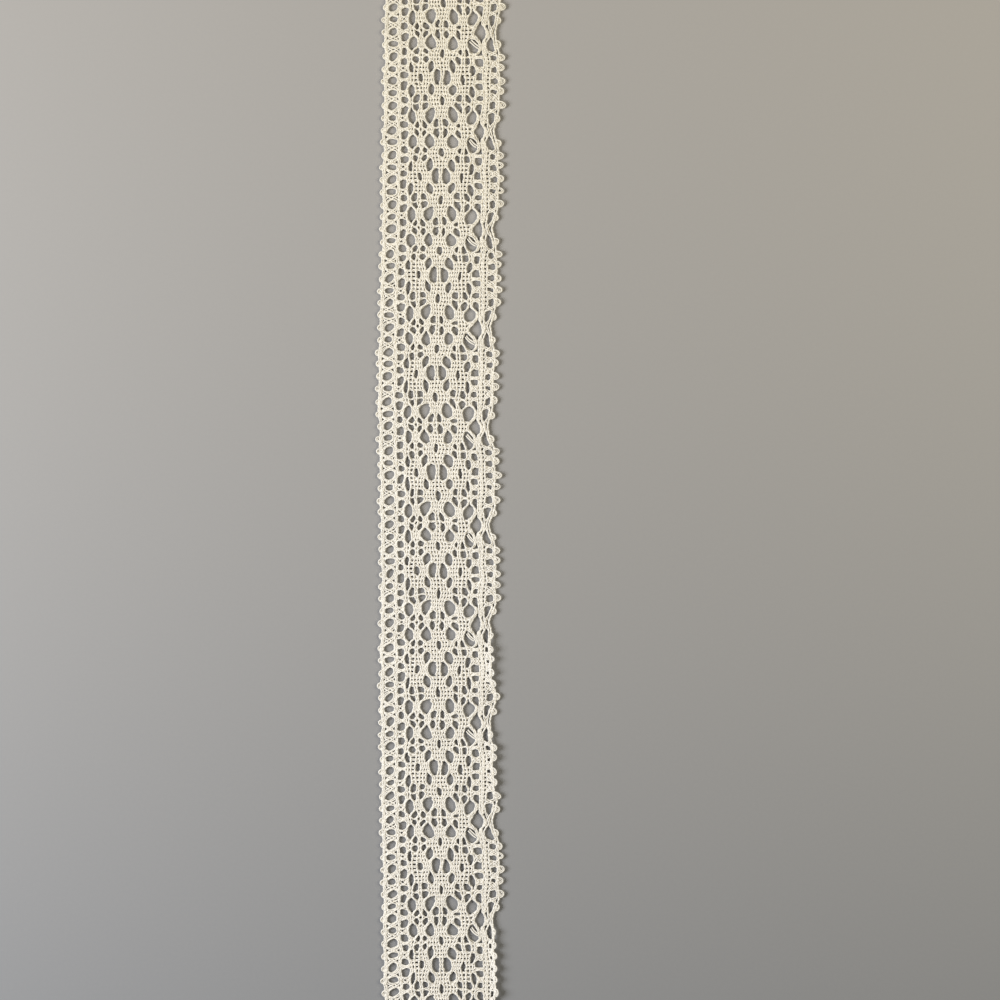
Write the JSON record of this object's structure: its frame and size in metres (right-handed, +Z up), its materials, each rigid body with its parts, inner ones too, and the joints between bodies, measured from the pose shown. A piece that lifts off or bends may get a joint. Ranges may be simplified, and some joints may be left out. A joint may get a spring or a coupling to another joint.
{
  "type": "lace trim",
  "caption": "Cut length of flat cotton lace trim with a straight ladder edge, an openwork middle and a scalloped picot edge.",
  "frame": {"origin": "under the middle of the trim, on the plane it lies on, at the centre of its bounding box", "axes": "+X across the trim from the ladder edge to the scalloped edge, +Y along its length, +Z up"},
  "size_m": [0.0423, 0.352, 0.0012],
  "materials": {
    "cotton_thread": "natural cream cotton lace thread, matt with a faint sheen"
  },
  "bodies": {
    "root": {"lace_trim": "cotton_thread"}
  },
  "joints": []
}
